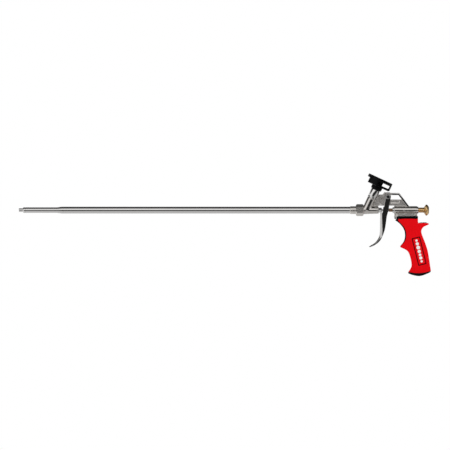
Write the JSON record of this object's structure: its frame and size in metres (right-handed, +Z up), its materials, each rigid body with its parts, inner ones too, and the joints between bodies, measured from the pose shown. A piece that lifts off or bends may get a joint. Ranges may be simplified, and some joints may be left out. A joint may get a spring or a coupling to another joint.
{
  "type": "expanding foam applicator gun",
  "caption": "Long-barrel trigger gun that screws onto a foam can and meters foam with a needle valve at its tip.",
  "frame": {"origin": "centre of the nozzle mouth, on the barrel axis", "axes": "+X back along the barrel to the adjusting knob, +Z up with the grip hanging down, +Y across the gun"},
  "size_m": [0.7994, 0.0504, 0.1996],
  "materials": {
    "polished_nickel": "polished",
    "cast_nickel": "satin",
    "brass": "polished",
    "bronze": "satin",
    "needle_steel": "satin",
    "white_polymer": "matt",
    "black_plastic": "semi gloss",
    "black_rubber": "matt",
    "red_plastic": "semi gloss",
    "label_red": "gloss"
  },
  "bodies": {
    "gun": {"nozzle_tip": "polished_nickel", "nozzle_tube": "polished_nickel", "barrel_tube": "polished_nickel", "barrel_ferrule": "brass", "barrel_nut": "polished_nickel", "barrel_seal": "white_polymer", "needle_guides": "white_polymer", "gun_frame": "cast_nickel", "gland_packing": "white_polymer", "gland_nut": "polished_nickel", "guide_bush": "polished_nickel", "rear_bush": "polished_nickel", "can_adapter": "black_plastic", "inlet_stem": "polished_nickel", "stem_washer": "white_polymer", "valve_seat": "white_polymer", "grip_shell": "red_plastic", "grip_collar": "black_plastic", "grip_front_pad": "black_rubber", "horn_pad": "black_rubber", "grip_base_cap": "black_rubber", "label_plate_left": "label_red", "label_plate_right": "label_red", "grip_bolt": "needle_steel", "bolt_washer": "needle_steel", "trigger_screw": "polished_nickel", "trigger_screw_nut": "polished_nickel", "return_spring": "needle_steel", "inlet_spring": "needle_steel"},
    "trigger_lever": {"trigger": "polished_nickel"},
    "needle": {"needle_tip": "brass", "needle_rod": "needle_steel", "needle_sleeve": "bronze", "spring_seat": "needle_steel", "spring_seat_nut": "needle_steel"},
    "adjuster_pad": {"stop_pad": "white_polymer"},
    "adjuster": {"adjusting_screw": "brass"},
    "inlet_check": {"inlet_ball": "needle_steel"}
  },
  "joints": [
    {"name": "trigger_pull", "type": "hinge", "parent": "gun", "child": "trigger_lever", "pos_m": [0.7162, 0, 0.0258], "axis": [0, -1, 0], "range_deg": [0, 12], "stiffness_Nm_per_rad": 1, "springref_deg": -5.73},
    {"name": "needle_slide", "type": "slide", "parent": "gun", "child": "needle", "axis": [1, 0, 0], "range_m": [0, 0.0056], "deforming": ["return_spring"]},
    {"name": "adjuster_advance", "type": "slide", "parent": "gun", "child": "adjuster_pad", "axis": [-1, 0, 0], "range_m": [0, 0.008]},
    {"name": "adjuster_turn", "type": "hinge", "parent": "adjuster_pad", "child": "adjuster", "pos_m": [0.79, 0, 0], "axis": [-1, 0, 0], "range_deg": [0, 2880]},
    {"name": "inlet_valve", "type": "slide", "parent": "gun", "child": "inlet_check", "axis": [-0.4226, 0, -0.9063], "range_m": [0, 0.0025], "stiffness_N_per_m": 400, "springref_m": -0.003, "deforming": ["inlet_spring"]}
  ],
  "couplings": [
    {"joint": "needle_slide", "follows": "trigger_pull", "m_per_rad": 0.0262},
    {"joint": "adjuster_turn", "follows": "adjuster_advance", "rad_per_m": 6283.2}
  ]
}
